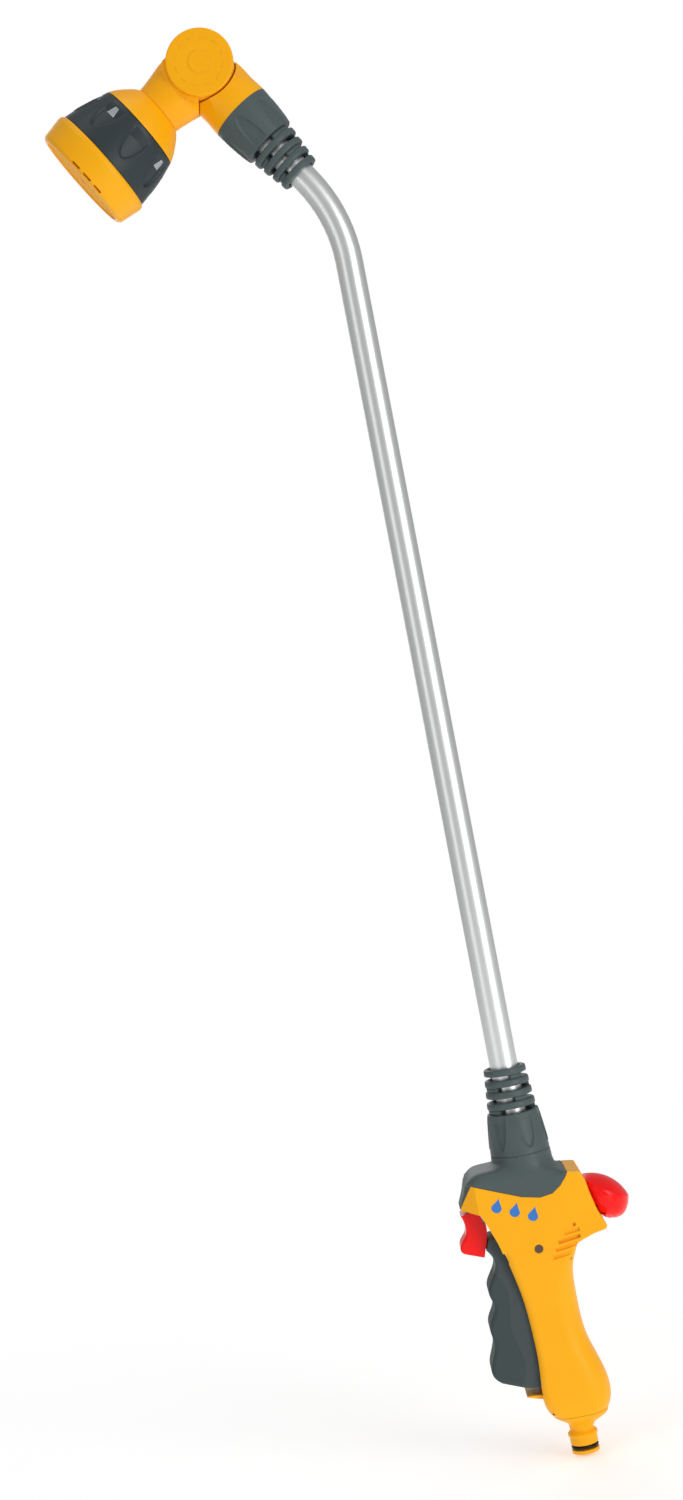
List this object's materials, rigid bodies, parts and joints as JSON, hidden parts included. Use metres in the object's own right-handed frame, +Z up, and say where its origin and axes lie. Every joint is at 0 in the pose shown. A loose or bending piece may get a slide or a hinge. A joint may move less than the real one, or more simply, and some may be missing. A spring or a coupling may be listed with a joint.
{
  "type": "watering wand",
  "caption": "Long-reach garden watering wand: trigger handle with hose spigot, bent aluminium lance, and a tilting head with a turning multi-pattern spray rosette.",
  "frame": {"origin": "centre of the hose spigot's end face", "axes": "+Z up the handle and along the lance's straight run, -X towards the trigger and the spray, Y across the handle's mirror plane"},
  "size_m": [0.2131, 0.0678, 0.8336],
  "materials": {
    "yellow_plastic": "satin moulded ABS",
    "grey_plastic": "satin moulded nylon",
    "dark_rubber": "soft-touch elastomer",
    "trigger_grey": "satin moulded nylon",
    "red_plastic": "semi-gloss moulded acetal",
    "anodised_tube": "satin anodised",
    "black_rubber": "nitrile",
    "steel": "passivated",
    "pin_steel": "dull zinc",
    "white_plastic": "natural acetal",
    "face_plastic": "satin moulded plate"
  },
  "bodies": {
    "handle": {"shell_left": "yellow_plastic", "shell_right": "yellow_plastic", "shell_screws": "steel", "barrel_hood": "grey_plastic", "base_cap": "yellow_plastic", "spigot_seal": "black_rubber", "inlet_pipe": "white_plastic", "valve_body": "white_plastic", "outlet_pipe": "white_plastic", "trigger_spring": "steel", "trigger_pin": "pin_steel", "lance_tube": "anodised_tube", "lower_collar": "grey_plastic", "lower_tube_seal": "black_rubber", "upper_collar": "grey_plastic", "upper_tube_seal": "black_rubber", "tube_arm": "yellow_plastic", "hinge_axle": "white_plastic", "axle_seals": "black_rubber", "hinge_washer": "white_plastic", "hinge_screw": "steel"},
    "stem": {"valve_stem": "steel", "stem_seal": "black_rubber"},
    "trigger": {"trigger_lever": "trigger_grey", "trigger_grip": "dark_rubber"},
    "lock": {"trigger_lock": "red_plastic"},
    "flow_control": {"flow_knob": "red_plastic", "flow_spindle": "white_plastic", "spindle_seal": "black_rubber"},
    "head": {"hub_plug": "yellow_plastic", "head_arm": "yellow_plastic", "rosette_shell": "yellow_plastic", "port_seal": "black_rubber", "port_spring": "steel", "rosette_screw": "steel"},
    "selector": {"selector_plate": "white_plastic", "manifold": "white_plastic", "selector_band": "dark_rubber", "front_bezel": "yellow_plastic", "spray_face": "face_plastic"}
  },
  "joints": [
    {"name": "head_tilt", "type": "hinge", "parent": "handle", "child": "head", "pos_m": [-0.0671, 0, 0.8144], "axis": [0, 1, 0], "range_deg": [0, 140]},
    {"name": "pattern_dial", "type": "hinge", "parent": "head", "child": "selector", "pos_m": [-0.0671, 0, 0.8144], "axis": [-0.8508, 0, -0.5255], "continuous": true},
    {"name": "trigger_squeeze", "type": "hinge", "parent": "handle", "child": "trigger", "pos_m": [-0.0056, 0, 0.122], "axis": [0, -1, 0], "range_deg": [0, 11], "stiffness_Nm_per_rad": 1.5, "springref_deg": -17.19},
    {"name": "stem_push", "type": "slide", "parent": "handle", "child": "stem", "axis": [1, 0, 0], "range_m": [0, 0.0036]},
    {"name": "lock_slide", "type": "slide", "parent": "handle", "child": "lock", "axis": [0, 0, 1], "range_m": [0, 0.003]},
    {"name": "flow_turn", "type": "hinge", "parent": "handle", "child": "flow_control", "pos_m": [0.0361, 0, 0.1421], "axis": [0.809, 0, 0.5878], "range_deg": [0, 90]}
  ],
  "couplings": [
    {"joint": "stem_push", "follows": "trigger_squeeze", "m_per_rad": 0.018}
  ]
}
